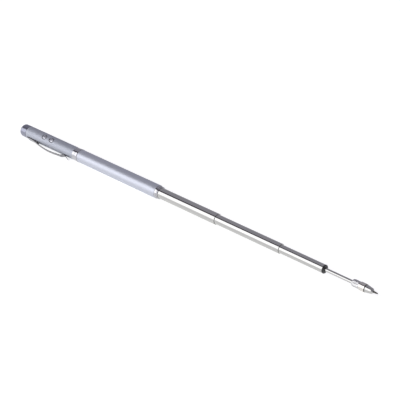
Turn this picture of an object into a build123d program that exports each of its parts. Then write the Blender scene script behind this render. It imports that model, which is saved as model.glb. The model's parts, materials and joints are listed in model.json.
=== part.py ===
from build123d import *
import os
from math import asin, atan, atan2, cos, degrees, hypot, sqrt

# A pocket pick-up tool built like a pen. It lies along +X with its axis on Y = Z = 0.
# X = 0 is the flat rear face of the light head, and the writing point is at the +X end.
# The light head (LED lamp and laser pointer) screws to a grip barrel. Three telescoping
# tubes and a rod slide out of the grip and carry a nose with a ring magnet and a ball pen.
# Millimetres throughout. The telescope is drawn part way out.

# ---- Light head ---------------------------------------------------------------------
HEAD_D = 10.45  # outside of the end cap and the upper barrel
HEAD_WALL = 0.72  # wall of the upper barrel
END_CAP_L = 8.0
END_CAP_ROUND = 1.9  # rounded rear edge
END_CAP_SPIGOT_L = 1.9  # part of the cap that is pressed into the barrel
END_WALL = 1.2  # wall in front of the laser module
UPPER_BARREL_L = 59.8
BARREL_BEVEL = 0.25  # bright bevel at the ends of both barrels

LASER_D = 4.0  # brass laser module
LASER_L = 11.0
LASER_APERTURE = 1.8
LASER_OFFSET = 2.2  # from the pen's axis, towards the buttons
LENS_D = 2.4
LENS_T = 0.8
LED_D = 3.0
LED_L = 5.2
LED_FLANGE_D = 3.6
LED_FLANGE_T = 1.0
LED_OFFSET = 1.8  # from the pen's axis, away from the buttons
LED_RECESS = 0.15  # the dome stays this far inside the rear face
LED_LEG_W = 0.5  # square legs
LED_LEG_L = 8.6
LED_LEG_SPACING = 1.27

BOARD_TOP = 0.9  # height of the board's face, from the axis towards the buttons
BOARD_T = 0.8
BOARD_GAP = 0.5  # from the clip's hook to the board
BOARD_EDGE_PLAY = 0.04
SWITCH_L = 4.4
SWITCH_W = 3.4
SWITCH_H = 1.3
PLUNGER_D = 1.6
PLUNGER_L = 1.2
PLUNGER_STANDS = 0.5  # height of the plunger above its switch

BUTTON_X = 30.9  # centre of the button nearest the end cap
BUTTON_PITCH = 9.0
BUTTON_FROM_CLIP = 85.0  # degrees round the barrel, from the clip to the buttons
SEAT_L = 5.6  # dark oval ring round each button, along the barrel
SEAT_W = 4.0
SEAT_RIM = 0.5
SEAT_SINK = 0.12  # the ring lies this far below the barrel's surface
SEAT_LIP = 0.55  # inner lip that bears on the barrel's bore
SEAT_DEPTH = 0.75  # thickness of the ring below the bore's crown
BUTTON_PLAY = 0.06  # round each button, in its ring
BUTTON_CROWN = 0.3  # the cap stands this far above the barrel
BUTTON_DOME_R = 6.0
BUTTON_FLANGE = 0.45  # ledge that keeps the button in
BUTTON_FLANGE_T = 0.4
BUTTON_STEM_D = 1.8
BUTTON_TRAVEL = 0.4

CELL_D = 7.9
CELL_H = 3.6
CELL_COUNT = 3
CELL_RIM = 0.5  # step between a cell's can and its smaller cap
CELL_CAP_T = 0.5
CELL_PLAY = 0.06
CONTACT_T = 0.5

UPPER_RING_L = 3.0  # bright ring at the front of the head
UPPER_RING_SPIGOT_L = 6.8
THREAD_D = 7.9  # screw joint between head and grip
THREAD_PITCH = 0.75
THREAD_TURNS = 6  # to screw the head off
THREAD_LEAD = 2.8  # plain end and relief of the threaded spigot
THREAD_PLAY = 0.05

# ---- Pocket clip --------------------------------------------------------------------
CLIP_T = 0.5
CLIP_X = 10.9  # centre of the foot
CLIP_SEAT_GAP = 0.08  # under the root and at the touching point
CLIP_HOOK_L = 2.5
CLIP_HOOK_W = 2.0
CLIP_HOOK_DROP = 0.3  # from the barrel's bore down to the hook
CLIP_ROOT_L = 6.1  # flat part that lies on the barrel
CLIP_FLANGE_L = 12.2  # side walls of the root channel
CLIP_ARCH_X = 26.5  # from the foot to the crown of the arch
CLIP_ARCH_H = 3.13  # rise of the strip from its root to the arch's corner
CLIP_BEND_X = 44.0  # from the foot to the bend where the arm dives
CLIP_BEND_H = 1.74
CLIP_TOUCH_X = 47.4  # from the foot to the touching point
CLIP_TIP_X = 52.9  # from the foot to the end of the tip
CLIP_TIP_H = 1.75
CLIP_ROOT_W = 3.7
CLIP_ARM_W = 2.4
CLIP_TIP_W = 3.2
CLIP_TAPER_L = 10.0
CLIP_ROOT_R = 20.0
CLIP_BOW_R = 80.0
CLIP_BEND_R = 2.5
CLIP_TOUCH_R = 1.8
CLIP_SLOT_PLAY = 0.15

# ---- Grip ---------------------------------------------------------------------------
JOINT_RING_D = 10.9
JOINT_RING_L = 2.9
JOINT_SPIGOT_L = 5.3
SPRING_POCKET_D = 5.4
SPRING_D = 4.8
SPRING_WIRE = 0.5
SPRING_TURNS = 5
SPRING_L = 9.5
GRIP_D = 10.5
GRIP_WALL = 0.65
GRIP_L = 89.3
COLLAR_L = 2.9
COLLAR_SPIGOT_L = 5.0
COLLAR_NOSE_D = 9.6
COLLAR_GROOVE_D = 9.1
COLLAR_GROOVE_W = 0.35
COLLAR_LIP_L = 0.7

# ---- Telescope ----------------------------------------------------------------------
GRIP_GAP = 0.35  # between the grip's bore and the first tube
TUBE_WALL = 0.3
TUBE_GAP = 0.275  # between one tube and the next
TUBE_STEP = 1.5  # how far each tube's rear end stays inside the last one, closed
TUBE_NIB = 0.7  # how far each tube's front stands out, closed
TUBE_REST = 0.5  # from the joint ring's spigot to the first tube, closed
CRIMP_L = 1.3  # rolled-in front end of a tube
RUN_PLAY = 0.05  # between a tube and the mouth it slides in
SHOE_L = 5.0  # brass friction shoe on a tube's rear end
SHOE_PLAY = 0.04
SHOE_SLIT = 1.0
TUBE_1_OUT = 57.8  # how far each stage is drawn out here
TUBE_2_OUT = 59.8
TUBE_3_OUT = 38.4
ROD_OUT = 22.8
BUSH_L = 6.0
BUSH_FLANGE_T = 0.9
BUSH_BEVEL = 0.4
ROD_D = 2.6
ROD_BORE = 1.9
ROD_SHOE_L = 6.0

# ---- Nose ---------------------------------------------------------------------------
FERRULE_D = 5.0
FERRULE_L = 5.9
FERRULE_BEVEL = 0.4
ROD_SOCKET_L = 4.2
MAGNET_D = 6.0
MAGNET_L = 4.5
NOSE_SPIGOT_D = 3.8
NOSE_THREAD_L = 2.4
NOSE_THREAD_PLAY = 0.05
WASHER_D = 5.2
WASHER_T = 0.5
CONE_BASE_D = 5.4
CONE_SHOULDER_D = 3.9
CONE_L = 5.4
CONE_MOUTH_D = 2.2
CONE_ROUND = 1.1
POINT_PLAY = 0.05
REFILL_D = 1.8
REFILL_BORE = 1.2
REFILL_L = 60.0
POINT_SOCKET_L = 3.0
POINT_D = 1.3
POINT_BODY_L = 6.6
POINT_OUT = 3.4  # point beyond the cone's mouth, ball included
POINT_TAPER_L = 1.9
POINT_END_D = 0.86
BALL_D = 0.7

# ---- Places along the pen, worked out from the sizes ----------------------------------
HEAD_R = HEAD_D / 2
HEAD_BORE_R = HEAD_R - HEAD_WALL
GRIP_R = GRIP_D / 2
GRIP_BORE_R = GRIP_R - GRIP_WALL
UPPER_RING_X = END_CAP_L + UPPER_BARREL_L
JOINT_X = UPPER_RING_X + UPPER_RING_L
GRIP_X = JOINT_X + JOINT_RING_L
COLLAR_X = GRIP_X + GRIP_L
LIP_X = COLLAR_X + COLLAR_L

TUBE_R = [GRIP_BORE_R - GRIP_GAP]
for _ in range(2):
    TUBE_R.append(TUBE_R[-1] - TUBE_WALL - TUBE_GAP)
BORE_R = [GRIP_BORE_R] + [radius - TUBE_WALL for radius in TUBE_R]
ROD_R = ROD_D / 2
STAGE_OUT = [TUBE_1_OUT, TUBE_2_OUT, TUBE_3_OUT]
TUBE_FRONT = [LIP_X + sum(STAGE_OUT[: stage + 1]) for stage in range(3)]
TUBE_L = [LIP_X + TUBE_NIB - (GRIP_X + JOINT_SPIGOT_L + TUBE_REST)]
for _ in range(2):
    TUBE_L.append(TUBE_L[-1] + TUBE_NIB - TUBE_STEP)
TUBE_REAR = [front - length for front, length in zip(TUBE_FRONT, TUBE_L)]
NOSE_X = TUBE_FRONT[2] + ROD_OUT
ROD_REAR = TUBE_REAR[2] + TUBE_STEP + ROD_OUT - TUBE_NIB
MAGNET_X = NOSE_X + FERRULE_L
WASHER_X = MAGNET_X + MAGNET_L
CONE_X = WASHER_X + WASHER_T
MOUTH_X = CONE_X + CONE_L
TIP_X = MOUTH_X + POINT_OUT


def corner_cut(before, corner, after, radius):
    """How far inside a corner its fillet passes."""
    turn_in = atan2(corner[1] - before[1], corner[0] - before[0])
    turn_out = atan2(after[1] - corner[1], after[0] - corner[0])
    return radius * (1 / cos((turn_out - turn_in) / 2) - 1)


# Middle of the clip's bent strip, from the hook inside the barrel to the flared tip, as
# (x, height from the pen's axis).
CLIP_LOW = HEAD_R + CLIP_SEAT_GAP + CLIP_T / 2
CLIP_HOOK_Z = HEAD_BORE_R - CLIP_HOOK_DROP - CLIP_T / 2
CLIP_ROOT_END = (CLIP_X + CLIP_ROOT_L, CLIP_LOW)
CLIP_ARCH = (CLIP_X + CLIP_ARCH_X, CLIP_LOW + CLIP_ARCH_H)
CLIP_BEND = (CLIP_X + CLIP_BEND_X, CLIP_LOW + CLIP_BEND_H)
CLIP_TOUCH = (CLIP_X + CLIP_TOUCH_X, CLIP_LOW)
CLIP_TIP = (CLIP_X + CLIP_TIP_X, CLIP_LOW + CLIP_TIP_H)
TOUCH_CUT = corner_cut(CLIP_BEND, CLIP_TOUCH, CLIP_TIP, CLIP_TOUCH_R)
BOW_CUT = corner_cut(CLIP_ROOT_END, CLIP_ARCH, CLIP_BEND, CLIP_BOW_R)

# Lying on a flat surface, the tool rolls until the crown of the clip's arm touches it.
CLIP_CROWN = CLIP_ARCH[1] - BOW_CUT + CLIP_T / 2
CLIP_SIDE = CLIP_ARM_W / 2
LIE_ANGLE = degrees(asin(JOINT_RING_D / 2 / hypot(CLIP_CROWN, CLIP_SIDE)) - atan(CLIP_SIDE / CLIP_CROWN))
CLIP_ROLL = 90 + LIE_ANGLE
BUTTON_ROLL = CLIP_ROLL - BUTTON_FROM_CLIP

# ---- Small helpers --------------------------------------------------------------------
STANDING = (Align.CENTER, Align.CENTER, Align.MIN)


def bar(x0, x1, radius, bore=0):
    """A round bar, or a tube, from x0 to x1 along the pen."""
    solid = Pos(x0, 0, 0) * Rot(0, 90, 0) * Cylinder(radius, x1 - x0, align=STANDING)
    if bore:
        solid -= bar(x0 - 1, x1 + 1, bore)
    return solid


def turned(*corners, rounds=()):
    """A solid turned about the pen's axis. rounds lists (corner number, fillet radius)."""
    face = make_face(Polyline(*corners, close=True))
    for corner, radius in rounds:
        x, y = corners[corner]
        face = fillet(face.vertices().sort_by_distance((x, y, 0))[0], radius)
    return revolve(face, Axis.X)


def oval(length, width, low, high):
    """An upright oval prism centred on the button's own axis, long side along the pen."""
    return extrude(Pos(0, 0, low) * SlotOverall(length, width), high - low)


def to_button(shape, x):
    """Moves a shape drawn upright on Z round to the button's line."""
    return Rot(BUTTON_ROLL, 0, 0) * Pos(x, 0, 0) * shape


def coil(x0, x1, mean_radius, wire, turns):
    """A coil spring whose wire, six-sided for round, just reaches x0 and x1."""
    height = x1 - x0 - wire
    path = Helix(pitch=height / turns, height=height, radius=mean_radius)
    section = Plane(origin=path @ 0, z_dir=path % 0) * RegularPolygon(wire / 2, 6)
    return Pos(x0 + wire / 2, 0, 0) * Rot(0, 90, 0) * sweep(section, path=path)


# ---- Light head -----------------------------------------------------------------------


def end_cap():
    """Turned cap with a flat rear face, bored for the lamp and the laser."""
    front = END_CAP_L + END_CAP_SPIGOT_L
    cap = turned(
        (0, 0),
        (0, HEAD_R),
        (END_CAP_L, HEAD_R),
        (END_CAP_L, HEAD_BORE_R),
        (front, HEAD_BORE_R),
        (front, 0),
        rounds=[(1, END_CAP_ROUND)],
    )
    laser_bore = bar(END_WALL, front + 1, LASER_D / 2) + bar(-1, front, LASER_APERTURE / 2)
    led_neck = LED_RECESS + LED_L
    led_bore = bar(-1, led_neck, LED_D / 2) + bar(led_neck, front + 1, LED_FLANGE_D / 2)
    cap -= Rot(BUTTON_ROLL, 0, 0) * Pos(0, 0, LASER_OFFSET) * laser_bore
    cap -= Rot(BUTTON_ROLL, 0, 0) * Pos(0, 0, -LED_OFFSET) * led_bore
    return cap


def laser_module():
    front = END_WALL
    body = bar(front, front + LASER_L, LASER_D / 2)
    body -= bar(front - 1, front + LENS_T, LENS_D / 2)
    body -= bar(front, front + LENS_T + 2.0, LASER_APERTURE / 2)
    return Rot(BUTTON_ROLL, 0, 0) * Pos(0, 0, LASER_OFFSET) * body


def laser_lens():
    lens = bar(END_WALL, END_WALL + LENS_T, LENS_D / 2)
    return Rot(BUTTON_ROLL, 0, 0) * Pos(0, 0, LASER_OFFSET) * lens


def led_lamp():
    """Lamp with a domed end, a base flange and two legs bent up to the board."""
    radius = LED_D / 2
    base = LED_RECESS + LED_L
    lamp = Pos(LED_RECESS + radius, 0, 0) * Sphere(radius) + bar(LED_RECESS + radius, base, radius)
    lamp += bar(base, base + LED_FLANGE_T, LED_FLANGE_D / 2)
    rise = LED_OFFSET + BOARD_TOP - BOARD_T
    for side in (-1, 1):
        leg = Box(LED_LEG_L, LED_LEG_W, LED_LEG_W, align=(Align.MIN, Align.CENTER, Align.CENTER))
        leg += Box(LED_LEG_W, LED_LEG_W, rise, align=STANDING).moved(Pos(LED_LEG_L - LED_LEG_W / 2, 0, 0))
        lamp += Pos(base + LED_FLANGE_T, side * LED_LEG_SPACING, 0) * leg
    return Rot(BUTTON_ROLL, 0, 0) * Pos(0, 0, -LED_OFFSET) * lamp


def upper_barrel():
    """Tube with two oval button windows and the slot of the clip's hook."""
    bevel = BARREL_BEVEL
    barrel = turned(
        (END_CAP_L, HEAD_BORE_R),
        (END_CAP_L, HEAD_R - bevel),
        (END_CAP_L + bevel, HEAD_R),
        (UPPER_RING_X - bevel, HEAD_R),
        (UPPER_RING_X, HEAD_R - bevel),
        (UPPER_RING_X, HEAD_BORE_R),
    )
    for index in range(2):
        window = oval(SEAT_L, SEAT_W, 0, HEAD_R + 1)
        barrel -= to_button(window, BUTTON_X + index * BUTTON_PITCH)
    rear = CLIP_X - CLIP_T / 2 - CLIP_SLOT_PLAY
    slot_l = CLIP_T + CLIP_HOOK_L / 2 + CLIP_SLOT_PLAY
    slot_w = CLIP_HOOK_W + 2 * CLIP_SLOT_PLAY
    slot = Box(slot_l, slot_w, HEAD_R + 1, align=(Align.MIN, Align.CENTER, Align.MIN))
    return barrel - Rot(CLIP_ROLL, 0, 0) * Pos(rear, 0, 0) * slot


BOARD_X = CLIP_X + CLIP_HOOK_L + BOARD_GAP
CELL_X = UPPER_RING_X - UPPER_RING_SPIGOT_L - CELL_COUNT * CELL_H - CELL_PLAY
CONTACT_X = CELL_X - CONTACT_T


def circuit_board():
    """Board whose long edges rest in the barrel's bore."""
    half_width = sqrt((HEAD_BORE_R - BOARD_EDGE_PLAY) ** 2 - BOARD_TOP**2)
    board = Box(CONTACT_X - BOARD_X, 2 * half_width, BOARD_T, align=(Align.MIN, Align.CENTER, Align.MAX))
    return Rot(BUTTON_ROLL, 0, 0) * Pos(BOARD_X, 0, BOARD_TOP) * board


def switch(x):
    """Push switch on the board, with a well for its plunger."""
    body = Pos(0, 0, BOARD_TOP) * Box(SWITCH_L, SWITCH_W, SWITCH_H, align=STANDING)
    well_low = BOARD_TOP + SWITCH_H + PLUNGER_STANDS - PLUNGER_L - BUTTON_TRAVEL
    body -= Pos(0, 0, well_low) * Cylinder(PLUNGER_D / 2 + BUTTON_PLAY, SWITCH_H, align=STANDING)
    return to_button(body, x)


def plunger(x):
    top = BOARD_TOP + SWITCH_H + PLUNGER_STANDS
    body = Pos(0, 0, top) * Cylinder(PLUNGER_D / 2, PLUNGER_L, align=(Align.CENTER, Align.CENTER, Align.MAX))
    return to_button(body, x)


SEAT_LOW = HEAD_BORE_R - SEAT_DEPTH


def button_seat(x):
    """Oval ring in the barrel's window, with an inner lip that follows the bore."""
    neck = oval(SEAT_L, SEAT_W, SEAT_LOW, HEAD_R + 1)
    lip = oval(SEAT_L + 2 * SEAT_LIP, SEAT_W + 2 * SEAT_LIP, SEAT_LOW, HEAD_R + 1)
    hole = oval(SEAT_L - 2 * SEAT_RIM, SEAT_W - 2 * SEAT_RIM, SEAT_LOW - 1, HEAD_R + 2)
    sunk = bar(-SEAT_L, SEAT_L, HEAD_R - SEAT_SINK)
    bore = bar(-SEAT_L, SEAT_L, HEAD_BORE_R)
    return to_button((neck & sunk) + (lip & bore) - hole, x)


def button(x):
    """Push button with a crowned cap, a ledge under its ring and a stem down to the switch."""
    length = SEAT_L - 2 * SEAT_RIM - 2 * BUTTON_PLAY
    width = SEAT_W - 2 * SEAT_RIM - 2 * BUTTON_PLAY
    ledge_low = SEAT_LOW - BUTTON_FLANGE_T
    dome = Pos(0, 0, HEAD_R + BUTTON_CROWN - BUTTON_DOME_R) * Sphere(BUTTON_DOME_R)
    cap = oval(length, width, ledge_low, HEAD_R + 1) & dome
    ledge = oval(length + 2 * BUTTON_FLANGE, width + 2 * BUTTON_FLANGE, ledge_low, SEAT_LOW)
    stem_low = BOARD_TOP + SWITCH_H + PLUNGER_STANDS
    stem = Pos(0, 0, stem_low) * Cylinder(BUTTON_STEM_D / 2, ledge_low - stem_low, align=STANDING)
    return to_button(cap + ledge + stem, x)


def battery_liner():
    """Insulating sleeve round the cells."""
    return bar(CELL_X, CELL_X + CELL_COUNT * CELL_H, HEAD_BORE_R, CELL_D / 2 + CELL_PLAY)


def battery_cell(index):
    """Button cell: a can and a slightly smaller cap."""
    rear = CELL_X + index * CELL_H
    can_front = rear + CELL_H - CELL_CAP_T
    return bar(rear, can_front, CELL_D / 2) + bar(can_front, rear + CELL_H, CELL_D / 2 - CELL_RIM)


def cell_contact():
    return bar(CONTACT_X, CELL_X, HEAD_BORE_R)


def upper_ring():
    """Bright ring with a threaded sleeve inside the barrel."""
    bore = THREAD_D / 2 + THREAD_PLAY
    ring_x = UPPER_RING_X
    return turned(
        (ring_x - UPPER_RING_SPIGOT_L, bore),
        (ring_x - UPPER_RING_SPIGOT_L, HEAD_BORE_R),
        (ring_x, HEAD_BORE_R),
        (ring_x, HEAD_R),
        (JOINT_X - BARREL_BEVEL, HEAD_R),
        (JOINT_X, HEAD_R - BARREL_BEVEL),
        (JOINT_X, bore),
    )


# ---- Pocket clip ----------------------------------------------------------------------


def clip_side():
    """Side outline of the bent strip, in the X-Z plane, as a face."""
    path = FilletPolyline(
        (CLIP_X + CLIP_HOOK_L, CLIP_HOOK_Z),
        (CLIP_X, CLIP_HOOK_Z),
        (CLIP_X, CLIP_LOW),
        CLIP_ROOT_END,
        CLIP_ARCH,
        CLIP_BEND,
        (CLIP_TOUCH[0], CLIP_TOUCH[1] - TOUCH_CUT),
        CLIP_TIP,
        radius=[CLIP_T, CLIP_T, CLIP_ROOT_R, CLIP_BOW_R, CLIP_BEND_R, CLIP_TOUCH_R],
    )
    return Plane.XZ * trace(path, CLIP_T)


def clip_plan():
    """Outline of the strip seen from outside, from root to tip."""
    x = CLIP_X - CLIP_T
    root_end = CLIP_X + CLIP_FLANGE_L
    tip_x = CLIP_X + CLIP_TIP_X + CLIP_T
    root, arm, tip = CLIP_ROOT_W / 2, CLIP_ARM_W / 2, CLIP_TIP_W / 2
    edge = [
        (x, root),
        (root_end, root),
        (root_end + CLIP_TAPER_L, arm),
        (CLIP_X + CLIP_BEND_X - 3, arm),
        (tip_x - 2 * tip, tip),
        (tip_x, tip),
    ]
    outline = edge + [(px, -py) for px, py in reversed(edge)]
    face = make_face(Polyline(*outline, close=True))
    ends = face.vertices().sort_by(Axis.X)[-2:]
    return fillet(ends, tip * 0.8)


def clip_flange():
    """One side wall of the root channel, from the barrel up to the strip."""
    front = CLIP_X + CLIP_FLANGE_L
    rise = (CLIP_FLANGE_L - CLIP_ROOT_L) / (CLIP_ARCH_X - CLIP_ROOT_L) * CLIP_ARCH_H
    wall = Polyline(
        (CLIP_X - CLIP_T / 2, HEAD_BORE_R),
        (CLIP_X - CLIP_T / 2, CLIP_LOW),
        CLIP_ROOT_END,
        (front, CLIP_LOW + rise),
        (front + CLIP_T, HEAD_BORE_R),
        close=True,
    )
    return extrude(Plane.XZ * make_face(wall), CLIP_T / 2, both=True)


def pocket_clip():
    """Stamped spring clip: a hooked foot, a channel root, a bowed arm and a flared tip."""
    strip = extrude(clip_side(), CLIP_ROOT_W, both=True)
    strip &= extrude(clip_plan(), 3 * HEAD_R)
    cheek_z = HEAD_R + CLIP_SEAT_GAP
    for side in (-1, 1):
        cheek = Box(CLIP_ROOT_L * 2, CLIP_ROOT_W, cheek_z, align=(Align.CENTER, Align.MIN, Align.MIN))
        if side < 0:
            cheek = mirror(cheek, Plane.XZ)
        strip -= Pos(CLIP_X, side * CLIP_HOOK_W / 2, 0) * cheek
    clear = bar(0, UPPER_RING_X, HEAD_R + CLIP_SEAT_GAP)
    for side in (-1, 1):
        wall = Pos(0, side * (CLIP_ROOT_W - CLIP_T) / 2, 0) * clip_flange()
        strip += wall - clear
    return Rot(CLIP_ROLL, 0, 0) * strip


# ---- Grip -----------------------------------------------------------------------------


def joint_ring():
    """Ring between head and grip: threaded at the rear, bored for the spring, pressed into the grip."""
    rear = JOINT_X - THREAD_TURNS * THREAD_PITCH - THREAD_LEAD
    front = GRIP_X + JOINT_SPIGOT_L
    bottom = CELL_X + CELL_COUNT * CELL_H + SPRING_L
    pocket = SPRING_POCKET_D / 2
    return turned(
        (rear, pocket),
        (rear, THREAD_D / 2 - BARREL_BEVEL),
        (rear + BARREL_BEVEL, THREAD_D / 2),
        (JOINT_X, THREAD_D / 2),
        (JOINT_X, JOINT_RING_D / 2 - BARREL_BEVEL),
        (JOINT_X + BARREL_BEVEL, JOINT_RING_D / 2),
        (GRIP_X - BARREL_BEVEL, JOINT_RING_D / 2),
        (GRIP_X, JOINT_RING_D / 2 - BARREL_BEVEL),
        (GRIP_X, GRIP_BORE_R),
        (front, GRIP_BORE_R),
        (front, 0),
        (bottom, 0),
        (bottom, pocket),
    )


def battery_spring():
    rear = CELL_X + CELL_COUNT * CELL_H
    return coil(rear, rear + SPRING_L, (SPRING_D - SPRING_WIRE) / 2, SPRING_WIRE, SPRING_TURNS)


def lower_barrel():
    return turned(
        (GRIP_X, GRIP_BORE_R),
        (GRIP_X, GRIP_R - BARREL_BEVEL),
        (GRIP_X + BARREL_BEVEL, GRIP_R),
        (COLLAR_X - BARREL_BEVEL, GRIP_R),
        (COLLAR_X, GRIP_R - BARREL_BEVEL),
        (COLLAR_X, GRIP_BORE_R),
    )


def front_collar():
    """Tapered collar with a groove and a lip. The first tube slides in its bore."""
    bore = TUBE_R[0] + RUN_PLAY
    lip_x = LIP_X - COLLAR_LIP_L
    groove_x = lip_x - COLLAR_GROOVE_W
    return turned(
        (COLLAR_X - COLLAR_SPIGOT_L, bore),
        (COLLAR_X - COLLAR_SPIGOT_L, GRIP_BORE_R),
        (COLLAR_X, GRIP_BORE_R),
        (COLLAR_X, GRIP_R),
        (groove_x, COLLAR_NOSE_D / 2),
        (groove_x, COLLAR_GROOVE_D / 2),
        (lip_x, COLLAR_GROOVE_D / 2),
        (lip_x, COLLAR_NOSE_D / 2),
        (LIP_X - BARREL_BEVEL, COLLAR_NOSE_D / 2),
        (LIP_X, COLLAR_NOSE_D / 2 - BARREL_BEVEL),
        (LIP_X, bore),
    )


# ---- Telescope ------------------------------------------------------------------------


def telescope_tube(stage, inner_radius, front):
    """Thin tube whose front end is rolled in to the radius of what slides inside it."""
    rear = TUBE_REAR[stage]
    outer, bore = TUBE_R[stage], BORE_R[stage + 1]
    lip = inner_radius + RUN_PLAY
    return turned(
        (rear, bore),
        (rear, outer),
        (front - TUBE_WALL, outer),
        (front, outer - TUBE_WALL / 2),
        (front, lip),
        (front - CRIMP_L, lip),
        (front - CRIMP_L - (bore - lip), bore),
    )


def friction_shoe(rear, length, radius, bore):
    """Split spring ring round the rear end of a sliding part."""
    ring = bar(rear, rear + length, bore - SHOE_PLAY, radius)
    slit = Box(length + 2, SHOE_SLIT, 2 * bore, align=(Align.MIN, Align.CENTER, Align.MIN))
    return ring - Pos(rear - 1, 0, 0) * slit


def tip_bush():
    """Plastic bush in the third tube's mouth, with a flange. The rod slides through it."""
    front = TUBE_FRONT[2]
    bore = ROD_R + RUN_PLAY
    flange = front - BUSH_FLANGE_T
    return turned(
        (front - BUSH_L, bore),
        (front - BUSH_L, BORE_R[3]),
        (flange, BORE_R[3]),
        (flange, TUBE_R[2]),
        (front - BUSH_BEVEL, TUBE_R[2]),
        (front, TUBE_R[2] - BUSH_BEVEL),
        (front, bore),
    )


def third_tube():
    """Plain tube, open at the front for its bush."""
    return bar(TUBE_REAR[2], TUBE_FRONT[2] - BUSH_FLANGE_T, TUBE_R[2], BORE_R[3])


def pointer_rod():
    return bar(ROD_REAR, NOSE_X + ROD_SOCKET_L, ROD_R, ROD_BORE / 2)


# ---- Nose -----------------------------------------------------------------------------


def nose_ferrule():
    """Ferrule pressed on the rod, with a spigot for the magnet and a thread for the cone."""
    thread_end = CONE_X + NOSE_THREAD_L
    return turned(
        (NOSE_X, ROD_R),
        (NOSE_X, FERRULE_D / 2 - FERRULE_BEVEL),
        (NOSE_X + FERRULE_BEVEL, FERRULE_D / 2),
        (MAGNET_X, FERRULE_D / 2),
        (MAGNET_X, NOSE_SPIGOT_D / 2),
        (thread_end, NOSE_SPIGOT_D / 2),
        (thread_end, REFILL_D / 2),
        (NOSE_X + ROD_SOCKET_L, REFILL_D / 2),
        (NOSE_X + ROD_SOCKET_L, ROD_R),
    )


def ring_magnet():
    corner = 0.3
    return turned(
        (MAGNET_X, NOSE_SPIGOT_D / 2),
        (MAGNET_X, MAGNET_D / 2 - corner),
        (MAGNET_X + corner, MAGNET_D / 2),
        (WASHER_X, MAGNET_D / 2),
        (WASHER_X, NOSE_SPIGOT_D / 2),
    )


def magnet_washer():
    return bar(WASHER_X, CONE_X, WASHER_D / 2, NOSE_SPIGOT_D / 2)


def nose_cone():
    """Cone screwed on the ferrule's spigot. Its mouth guides the writing point."""
    bore = NOSE_SPIGOT_D / 2 + NOSE_THREAD_PLAY
    mouth = POINT_D / 2 + POINT_PLAY
    shoulder_x = CONE_X + NOSE_THREAD_L + 0.2
    return turned(
        (CONE_X, bore),
        (CONE_X, CONE_BASE_D / 2),
        (MOUTH_X - CONE_ROUND, CONE_SHOULDER_D / 2),
        (MOUTH_X, CONE_MOUTH_D / 2),
        (MOUTH_X, mouth),
        (shoulder_x + bore - mouth, mouth),
        (shoulder_x, bore),
        rounds=[(2, CONE_ROUND)],
    )


POINT_X = MOUTH_X + POINT_OUT - BALL_D / 2  # centre of the ball
POINT_REAR = CONE_X + NOSE_THREAD_L - POINT_BODY_L


def ink_refill():
    return bar(POINT_REAR - REFILL_L, POINT_REAR, REFILL_D / 2, REFILL_BORE / 2)


def refill_point():
    """Brass point: a socket in the refill, a body, a thin neck and a taper to the ball."""
    neck_x = CONE_X + NOSE_THREAD_L
    point = turned(
        (POINT_REAR - POINT_SOCKET_L, 0),
        (POINT_REAR - POINT_SOCKET_L, REFILL_BORE / 2),
        (POINT_REAR, REFILL_BORE / 2),
        (POINT_REAR, REFILL_D / 2),
        (neck_x, REFILL_D / 2),
        (neck_x, POINT_D / 2),
        (POINT_X - POINT_TAPER_L, POINT_D / 2),
        (POINT_X, POINT_END_D / 2),
        (POINT_X, 0),
    )
    return point - Pos(POINT_X, 0, 0) * Sphere(BALL_D / 2)


def writing_ball():
    return Pos(POINT_X, 0, 0) * Sphere(BALL_D / 2)


# ---- All pieces -------------------------------------------------------------------------


def light_head():
    second_x = BUTTON_X + BUTTON_PITCH
    pieces = {
        "end_cap": end_cap(),
        "laser_module": laser_module(),
        "laser_lens": laser_lens(),
        "led_lamp": led_lamp(),
        "upper_barrel": upper_barrel(),
        "circuit_board": circuit_board(),
        "battery_liner": battery_liner(),
        "cell_contact": cell_contact(),
        "upper_ring": upper_ring(),
        "pocket_clip": pocket_clip(),
    }
    for name, x in (("led", BUTTON_X), ("laser", second_x)):
        pieces[f"{name}_switch"] = switch(x)
        pieces[f"{name}_plunger"] = plunger(x)
        pieces[f"{name}_button_seat"] = button_seat(x)
        pieces[f"{name}_button"] = button(x)
    for index in range(CELL_COUNT):
        pieces[f"battery_cell_{index + 1}"] = battery_cell(index)
    return pieces


def grip():
    return {
        "joint_ring": joint_ring(),
        "battery_spring": battery_spring(),
        "lower_barrel": lower_barrel(),
        "front_collar": front_collar(),
    }


def telescope():
    pieces = {
        "tube_1": telescope_tube(0, TUBE_R[1], TUBE_FRONT[0]),
        "tube_2": telescope_tube(1, TUBE_R[2], TUBE_FRONT[1]),
        "tube_3": third_tube(),
        "tip_bush": tip_bush(),
        "pointer_rod": pointer_rod(),
        "rod_shoe": bar(ROD_REAR, ROD_REAR + ROD_SHOE_L, BORE_R[3] - SHOE_PLAY, ROD_R),
    }
    for stage in range(3):
        shoe = friction_shoe(TUBE_REAR[stage], SHOE_L, TUBE_R[stage], BORE_R[stage])
        pieces[f"tube_{stage + 1}_shoe"] = shoe
    return pieces


def nose():
    return {
        "nose_ferrule": nose_ferrule(),
        "ring_magnet": ring_magnet(),
        "magnet_washer": magnet_washer(),
        "nose_cone": nose_cone(),
        "ink_refill": ink_refill(),
        "refill_point": refill_point(),
        "writing_ball": writing_ball(),
    }


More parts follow.
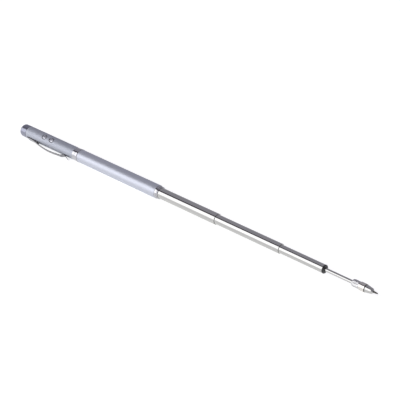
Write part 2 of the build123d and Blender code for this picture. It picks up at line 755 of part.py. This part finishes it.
def print_travels():
    """How far each stage closes and opens from where it is drawn."""
    shut = [out - TUBE_NIB for out in STAGE_OUT + [ROD_OUT]]
    stops = [COLLAR_X - COLLAR_SPIGOT_L] + [front - CRIMP_L for front in TUBE_FRONT[:2]]
    stops[1:] = [stop - (BORE_R[i + 1] - TUBE_R[i + 1] - RUN_PLAY) for i, stop in enumerate(stops[1:])]
    stops.append(TUBE_FRONT[2] - BUSH_L)
    shoes = [rear + SHOE_L for rear in TUBE_REAR] + [ROD_REAR + ROD_SHOE_L]
    for name, closing, stop, shoe in zip(("tube_1", "tube_2", "tube_3", "rod"), shut, stops, shoes):
        print(f"{name}: closes {closing:.2f} mm, opens {stop - shoe:.2f} mm")
    print(f"length as drawn {TIP_X:.1f} mm, clip lies {LIE_ANGLE:.2f} degrees below level")


if __name__ == "__main__":
    os.makedirs("parts", exist_ok=True)
    for group in (light_head(), grip(), telescope(), nose()):
        for name, shape in group.items():
            export_step(shape, f"parts/{name}.step")
    print_travels()
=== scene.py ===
import json
from math import cos, pi, radians, sin

import bpy
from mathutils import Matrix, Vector


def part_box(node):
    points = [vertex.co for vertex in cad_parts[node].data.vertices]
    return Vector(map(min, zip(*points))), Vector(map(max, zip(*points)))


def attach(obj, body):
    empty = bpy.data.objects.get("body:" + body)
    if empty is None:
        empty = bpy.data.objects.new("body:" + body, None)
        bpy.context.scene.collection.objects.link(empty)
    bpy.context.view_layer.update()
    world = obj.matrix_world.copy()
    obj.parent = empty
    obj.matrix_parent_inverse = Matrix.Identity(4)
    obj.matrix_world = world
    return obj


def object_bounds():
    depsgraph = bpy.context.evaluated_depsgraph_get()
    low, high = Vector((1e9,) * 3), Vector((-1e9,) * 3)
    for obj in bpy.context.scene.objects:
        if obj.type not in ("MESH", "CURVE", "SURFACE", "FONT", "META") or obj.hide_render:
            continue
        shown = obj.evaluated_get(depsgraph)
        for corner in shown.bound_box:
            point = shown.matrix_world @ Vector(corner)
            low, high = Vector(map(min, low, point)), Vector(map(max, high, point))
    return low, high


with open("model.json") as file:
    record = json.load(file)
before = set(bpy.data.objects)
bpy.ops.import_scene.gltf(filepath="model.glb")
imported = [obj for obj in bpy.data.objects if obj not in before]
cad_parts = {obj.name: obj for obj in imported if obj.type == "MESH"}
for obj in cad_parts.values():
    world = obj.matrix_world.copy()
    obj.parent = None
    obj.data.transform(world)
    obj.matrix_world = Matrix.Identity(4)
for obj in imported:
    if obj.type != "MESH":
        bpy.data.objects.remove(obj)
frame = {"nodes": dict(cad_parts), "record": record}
cad_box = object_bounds()

# Metres. The pen lies along +X with its axis on Y = Z = 0 and rests on the floor.
MM = 0.001
FLOOR_Z = cad_box[0].z

# ---- Camera, floor and light -----------------------------------------------------------
CAMERA_AZIMUTH = 45.0
CAMERA_ELEVATION = 27.1
CAMERA_LENS = 102.2
AIM_X = 0.2202  # point of the pen's axis that the camera is set by
AIM_DISTANCE = 0.805
AIM_RIGHT = 0.00995  # how far that point lies right of the picture's middle
AIM_DOWN = 0.01257

SOFTBOX_X = -0.7  # middle of the big panel on the near side
SOFTBOX_Y = -1.0
SOFTBOX_W = 3.2
SOFTBOX_TOP = 1.38
SOFTBOX_RADIANCE = 1.75
SKY_COLOUR = (0.42, 0.41, 0.47)
GAP_COLOUR = (0.10, 0.09, 0.11)  # dark band between the panel and the ceiling
GAP_LOW = 55.0  # degrees above the near horizon
GAP_HIGH = 74.0
GAP_SOFTNESS = 3.0

FLOOR_HALF_W = 6.0
FLOOR_WHITE = 0.8  # what lights the tool from below
FLOOR_GLOW = 0.70  # with the shade, what the camera and the metal see
FLOOR_SHADE = 0.62


def point_camera():
    azimuth, elevation = radians(CAMERA_AZIMUTH), radians(CAMERA_ELEVATION)
    back = Vector((sin(azimuth) * cos(elevation), -cos(azimuth) * cos(elevation), sin(elevation)))
    right = Vector((cos(azimuth), sin(azimuth), 0))
    up = back.cross(right)
    data = bpy.data.cameras.new("camera")
    data.lens = CAMERA_LENS
    data.clip_start = 0.05
    data.clip_end = 20
    camera = bpy.data.objects.new("camera", data)
    bpy.context.scene.collection.objects.link(camera)
    camera.location = Vector((AIM_X, 0, 0)) + back * AIM_DISTANCE - right * AIM_RIGHT + up * AIM_DOWN
    camera.rotation_mode = "QUATERNION"
    camera.rotation_quaternion = (-back).to_track_quat("-Z", "Y")
    bpy.context.scene.camera = camera
    bpy.context.scene.view_settings.view_transform = "Standard"


class Nodes:
    """Short ways to add and join shader nodes."""

    def __init__(self, tree):
        self.tree = tree
        tree.nodes.clear()

    def add(self, kind, **inputs):
        node = self.tree.nodes.new(kind)
        for name, value in inputs.items():
            self.set(node, name.replace("_", " "), value)
        return node

    def set(self, node, name, value):
        socket = node.inputs[name]
        if isinstance(value, bpy.types.NodeSocket):
            self.tree.links.new(value, socket)
        elif socket.type == "RGBA":
            socket.default_value = (*value, 1)
        else:
            socket.default_value = value

    def math(self, operation, *values):
        node = self.tree.nodes.new("ShaderNodeMath")
        node.operation = operation
        for socket, value in zip(node.inputs, values):
            if isinstance(value, bpy.types.NodeSocket):
                self.tree.links.new(value, socket)
            else:
                socket.default_value = value
        return node.outputs[0]

    def ramp(self, value, *stops):
        """A colour from a value: stops are (position, colour)."""
        node = self.tree.nodes.new("ShaderNodeValToRGB")
        elements = node.color_ramp.elements
        while len(elements) < len(stops):
            elements.new(0.5)
        for element, (position, colour) in zip(elements, stops):
            element.position = position
            element.color = (*colour, 1)
        self.tree.links.new(value, node.inputs[0])
        return node.outputs[0]


def light_world():
    """Even ceiling with a dark gap above the near panel."""
    world = bpy.data.worlds.new("studio")
    bpy.context.scene.world = world
    world.use_nodes = True
    n = Nodes(world.node_tree)
    direction = n.add("ShaderNodeTexCoord").outputs["Generated"]
    axes = n.add("ShaderNodeSeparateXYZ", Vector=direction)
    # turn about the pen, from 0 at the near horizon to 180 at the far one
    turn = n.math("ARCTAN2", axes.outputs["Z"], n.math("MULTIPLY", axes.outputs["Y"], -1))
    share = n.math("DIVIDE", turn, pi)
    low, high, soft = GAP_LOW / 180, GAP_HIGH / 180, GAP_SOFTNESS / 180
    colour = n.ramp(
        share,
        (low - soft, SKY_COLOUR),
        (low, GAP_COLOUR),
        (high, GAP_COLOUR),
        (high + 2 * soft, SKY_COLOUR),
    )
    background = n.add("ShaderNodeBackground", Color=colour, Strength=1.0)
    out = n.add("ShaderNodeOutputWorld")
    n.set(out, "Surface", background.outputs[0])


def light_studio():
    """One big upright panel on the near side, standing on the floor."""
    height = SOFTBOX_TOP - FLOOR_Z
    data = bpy.data.lights.new("near_panel", "AREA")
    data.shape = "RECTANGLE"
    data.size = SOFTBOX_W
    data.size_y = height
    data.energy = SOFTBOX_RADIANCE * pi * SOFTBOX_W * height
    panel = bpy.data.objects.new("near_panel", data)
    bpy.context.scene.collection.objects.link(panel)
    panel.location = (SOFTBOX_X, SOFTBOX_Y, FLOOR_Z + height / 2)
    panel.rotation_mode = "QUATERNION"
    panel.rotation_quaternion = Vector((0, -SOFTBOX_Y, 0)).to_track_quat("-Z", "Y")


def lay_floor():
    """White floor: it shows white to the camera and in the metal, and keeps a soft shadow."""
    mesh = bpy.data.meshes.new("floor")
    signs = ((-1, -1), (1, -1), (1, 1), (-1, 1))
    corners = [(x * FLOOR_HALF_W, y * FLOOR_HALF_W, FLOOR_Z) for x, y in signs]
    mesh.from_pydata(corners, [], [(0, 1, 2, 3)])
    floor = bpy.data.objects.new("floor", mesh)
    bpy.context.scene.collection.objects.link(floor)
    material = bpy.data.materials.new("floor_white")
    material.use_nodes = True
    n = Nodes(material.node_tree)
    rays = n.add("ShaderNodeLightPath").outputs
    seen = n.math("MAXIMUM", rays["Is Camera Ray"], rays["Is Glossy Ray"])
    seen = n.math("MAXIMUM", seen, rays["Is Transmission Ray"])
    plain = n.add("ShaderNodeBsdfDiffuse", Color=(FLOOR_WHITE,) * 3)
    shade = n.add("ShaderNodeBsdfDiffuse", Color=(FLOOR_SHADE,) * 3)
    glow = n.add("ShaderNodeEmission", Color=(1, 1, 1), Strength=FLOOR_GLOW)
    white = n.add("ShaderNodeAddShader")
    n.tree.links.new(shade.outputs[0], white.inputs[0])
    n.tree.links.new(glow.outputs[0], white.inputs[1])
    mixed = n.add("ShaderNodeMixShader")
    n.tree.links.new(seen, mixed.inputs[0])
    n.tree.links.new(plain.outputs[0], mixed.inputs[1])
    n.tree.links.new(white.outputs[0], mixed.inputs[2])
    out = n.add("ShaderNodeOutputMaterial")
    n.tree.links.new(mixed.outputs[0], out.inputs["Surface"])
    mesh.materials.append(material)


# ---- Materials ---------------------------------------------------------------------------
# Every finish is a Principled shader whose colour and roughness vary with a fine grain, and on those given
# a bump, the relief too.


FINE = (3000, 3000, 3000)  # grain along X, Y and Z, in features per metre
LENGTHWISE = (60, 6000, 6000)
GRAIN_LOW, GRAIN_HIGH = 0.3, 0.7  # the noise's useful range


def finish(
    name, colour, metallic, roughness, grain, vary, rough_vary, bump=0.0, bump_depth=0.01 * MM, **sockets
):
    """A grained surface. Colour varies by the share vary, roughness over the width rough_vary."""
    material = bpy.data.materials.new(name)
    material.use_nodes = True
    n = Nodes(material.node_tree)
    place = n.add("ShaderNodeTexCoord").outputs["Object"]
    mapping = n.add("ShaderNodeMapping", Vector=place, Scale=grain)
    noise = n.add("ShaderNodeTexNoise", Vector=mapping.outputs[0], Scale=1.0, Detail=3.0, Roughness=0.6)
    value = noise.outputs["Fac"]
    dark = tuple(c * (1 - vary) for c in colour)
    light = tuple(min(1.0, c * (1 + vary)) for c in colour)
    shader = n.add("ShaderNodeBsdfPrincipled", Metallic=metallic)
    n.set(shader, "Base Color", n.ramp(value, (GRAIN_LOW, dark), (GRAIN_HIGH, light)))
    rough = n.add(
        "ShaderNodeMapRange",
        Value=value,
        From_Min=GRAIN_LOW,
        From_Max=GRAIN_HIGH,
        To_Min=max(0.0, roughness - rough_vary / 2),
        To_Max=roughness + rough_vary / 2,
    )
    n.set(shader, "Roughness", rough.outputs[0])
    if bump:
        relief = n.add("ShaderNodeBump", Strength=bump, Distance=bump_depth, Height=value)
        n.set(shader, "Normal", relief.outputs[0])
    for socket, amount in sockets.items():
        n.set(shader, socket.replace("_", " "), amount)
    out = n.add("ShaderNodeOutputMaterial")
    n.set(out, "Surface", shader.outputs[0])
    return material


# name: colour, metallic, roughness, grain, vary, rough_vary, bump, bump_depth
METALS = {
    "head_chrome": ((0.48, 0.48, 0.50), 1.0, 0.14, FINE, 0.03, 0.04),
    "cap_polish": ((0.27, 0.28, 0.34), 1.0, 0.30, FINE, 0.03, 0.05),
    "satin_lower": ((0.52, 0.54, 0.60), 0.85, 0.48, FINE, 0.03, 0.06, 0.3),
    "satin_upper": ((0.42, 0.44, 0.49), 0.75, 0.56, FINE, 0.04, 0.08, 0.4),
    "tube_chrome": ((0.49, 0.49, 0.475), 1.0, 0.05, LENGTHWISE, 0.04, 0.04),
    "clip_steel": ((0.26, 0.26, 0.27), 1.0, 0.22, LENGTHWISE, 0.04, 0.05),
    # painted shade: a near-black finish for the rings that stand in for the shadow in the seams
    "seam_painted_shade": ((0.05, 0.05, 0.05), 0.9, 0.35, FINE, 0.15, 0.1),
    "brass": ((0.80, 0.60, 0.28), 1.0, 0.28, FINE, 0.06, 0.08),
    "spring_steel": ((0.55, 0.55, 0.56), 1.0, 0.25, FINE, 0.05, 0.08),
    "nose_steel": ((0.55, 0.55, 0.55), 1.0, 0.16, FINE, 0.04, 0.06),
    "magnet_nickel": ((0.66, 0.64, 0.60), 1.0, 0.16, FINE, 0.04, 0.06),
    "point_steel": ((0.10, 0.095, 0.09), 1.0, 0.28, FINE, 0.08, 0.08),
    "button_silver": ((0.60, 0.61, 0.66), 1.0, 0.34, FINE, 0.04, 0.06),
}
PLASTICS = {
    "board_green": ((0.03, 0.22, 0.09), 0.0, 0.35, FINE, 0.12, 0.1, 0.3, 0.02 * MM),
    "black_plastic": ((0.015, 0.015, 0.016), 0.0, 0.35, FINE, 0.2, 0.1, 0.3),
    "black_rubber": ((0.03, 0.03, 0.032), 0.0, 0.55, FINE, 0.2, 0.1, 0.5, 0.02 * MM),
    "white_plastic": ((0.78, 0.78, 0.76), 0.0, 0.4, FINE, 0.03, 0.1, 0.2),
}
# the same, then transmission and index of refraction
CLEAR = {
    "clear_lens": ((0.9, 0.92, 0.95), 0.0, 0.05, FINE, 0.01, 0.02, 0.9, 1.49),
    "lamp_resin": ((0.93, 0.94, 0.90), 0.0, 0.08, FINE, 0.02, 0.03, 0.6, 1.54),
    "refill_plastic": ((0.75, 0.77, 0.80), 0.0, 0.25, FINE, 0.04, 0.06, 0.4, 1.5),
}
finishes = {name: finish(name, *values) for name, values in (METALS | PLASTICS).items()}
for name, (*values, transmission, ior) in CLEAR.items():
    finishes[name] = finish(name, *values, Transmission_Weight=transmission, IOR=ior)

# the two barrels share a slot, and the cap is duller than the rings
FINISH_OF_NODE = {
    "upper_barrel": "satin_upper",
    "lower_barrel": "satin_lower",
    "end_cap": "cap_polish",
}


def shade_smooth(mesh, angle=30):
    mesh.polygons.foreach_set("use_smooth", [True] * len(mesh.polygons))
    mesh.set_sharp_from_angle(angle=radians(angle))


def dress_nodes():
    """Each carried-over piece gets the finish of its slot, and smooth shading over its curves."""
    slots = {entry["node"]: entry["material_slot"] for entry in frame["record"]["subparts"]}
    for name, node in frame["nodes"].items():
        material = finishes[FINISH_OF_NODE.get(name, slots[name])]
        node.data.materials.clear()
        node.data.materials.append(material)
        shade_smooth(node.data)


# ---- Detail pieces -----------------------------------------------------------------------


SEAM_AROUND = 64
SEAM_STEPS = 8
SEAM_SINK = 0.2 * MM
SEAM_W = 0.35 * MM
SEAM_H = 0.22 * MM

KNURL_AROUND = 192
KNURL_ALONG = 60
KNURL_TEETH = 24
KNURL_TWIST = 2.2  # teeth that a ridge passes from end to end
KNURL_FADE = 12  # one part in this many runs out at each end
KNURL_LIFT = 0.01 * MM
KNURL_DEPTH = 0.12 * MM
KNURL_REAR_GAP = 0.6 * MM
KNURL_FRONT_GAP = 0.4 * MM  # to the magnet

THREAD_STEPS = 40
THREAD_PITCH = 0.75 * MM
THREAD_R = 3.955 * MM
THREAD_DEPTH = 0.02 * MM
THREAD_REAR_GAP = 0.5 * MM
THREAD_FRONT_GAP = 1.2 * MM
# (place along the pen in pitches, side of the middle radius)
THREAD_SECTION = ((-0.3, -1.0), (-0.08, 1.0), (0.08, 1.0), (0.3, -1.0))


def on_pen(x, radius, turn):
    """A point at a turn about the pen's axis."""
    return (x, radius * cos(turn), radius * sin(turn))


def add_piece(name, verts, faces, material):
    mesh = bpy.data.meshes.new(name)
    mesh.from_pydata(verts, [], faces)
    mesh.materials.append(finishes[material])
    piece = bpy.data.objects.new(name, mesh)
    bpy.context.scene.collection.objects.link(piece)
    return piece


def node_radius(name):
    low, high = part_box(name)
    return (high.z - low.z) / 2


def seam_profile(x, radius):
    """(x, radius) points of a half-round bead that stands SEAM_H above radius."""
    half = SEAM_W / 2
    bead = []
    for step in range(SEAM_STEPS + 1):
        turn = pi * step / SEAM_STEPS
        bead.append((x - half * cos(turn), radius + SEAM_H * sin(turn)))
    return bead + [(x + half, radius - SEAM_H), (x - half, radius - SEAM_H)]


def add_seam_shade(name, x, radius, body):
    """A dark bead turned about the pen's axis, painted shade standing in for the shadow in a seam."""
    profile = seam_profile(x, radius - SEAM_SINK)
    ring = len(profile)
    verts, faces = [], []
    for step in range(SEAM_AROUND):
        turn = 2 * pi * step / SEAM_AROUND
        verts += [on_pen(*point, turn) for point in profile]
        here, there = step * ring, (step + 1) % SEAM_AROUND * ring
        for i in range(ring):
            j = (i + 1) % ring
            faces.append((here + i, here + j, there + j, there + i))
    piece = add_piece(name, verts, faces, "seam_painted_shade")
    shade_smooth(piece.data)
    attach(piece, body)


def add_seam_shades():
    """Dark rings of painted shade where turned pieces meet, standing in for the shadow in the hairline
    seams.
    """
    upper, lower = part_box("upper_barrel"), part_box("lower_barrel")
    lower_radius = node_radius("lower_barrel")
    add_seam_shade("seam_shade_cap", upper[0].x, node_radius("upper_barrel"), "light_head")
    add_seam_shade("seam_shade_head", lower[0].x, lower_radius, "grip")
    add_seam_shade("seam_shade_collar", lower[1].x, lower_radius, "grip")


def ridge(teeth_round):
    """A saw of height 0 to 1, one tooth for each whole number."""
    return abs(teeth_round % 1 - 0.5) * 2


def add_knurl():
    """Diamond knurling on the ferrule behind the magnet."""
    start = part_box("nose_ferrule")[0].x + KNURL_REAR_GAP
    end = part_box("ring_magnet")[0].x - KNURL_FRONT_GAP
    radius = node_radius("nose_ferrule") + KNURL_LIFT
    verts, faces = [], []
    for i in range(KNURL_ALONG + 1):
        share = i / KNURL_ALONG
        fade = min(1, share * KNURL_FADE, (1 - share) * KNURL_FADE)
        for j in range(KNURL_AROUND):
            turn = 2 * pi * j / KNURL_AROUND
            tooth, twist = KNURL_TEETH * (turn / (2 * pi)), KNURL_TWIST * share
            height = min(ridge(tooth + twist), ridge(tooth - twist))
            verts.append(on_pen(start + (end - start) * share, radius + KNURL_DEPTH * height * fade, turn))
    for here in range(0, KNURL_ALONG * KNURL_AROUND, KNURL_AROUND):
        there = here + KNURL_AROUND
        for j in range(KNURL_AROUND):
            k = (j + 1) % KNURL_AROUND
            faces.append((here + j, here + k, there + k, there + j))
    piece = add_piece("ferrule_knurl", verts, faces, "nose_steel")
    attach(piece, "rod_and_nose")


def add_head_thread():
    """Thread on the spigot that the light head screws on."""
    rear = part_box("joint_ring")[0].x + THREAD_REAR_GAP
    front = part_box("upper_ring")[1].x - THREAD_FRONT_GAP
    count = int((front - rear) / THREAD_PITCH * THREAD_STEPS)
    corners = len(THREAD_SECTION)
    verts, faces = [], []
    for i in range(count + 1):
        for along, side in THREAD_SECTION:
            x = rear + THREAD_PITCH * (i / THREAD_STEPS + along)
            verts.append(on_pen(x, THREAD_R + THREAD_DEPTH * side, 2 * pi * i / THREAD_STEPS))
    for here in range(0, corners * count, corners):
        there = here + corners
        for k in range(corners):
            j = (k + 1) % corners
            faces.append((here + k, here + j, there + j, there + k))
    piece = add_piece("head_thread", verts, faces, "head_chrome")
    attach(piece, "grip")


point_camera()
light_world()
light_studio()
lay_floor()
dress_nodes()
add_seam_shades()
add_knurl()
add_head_thread()
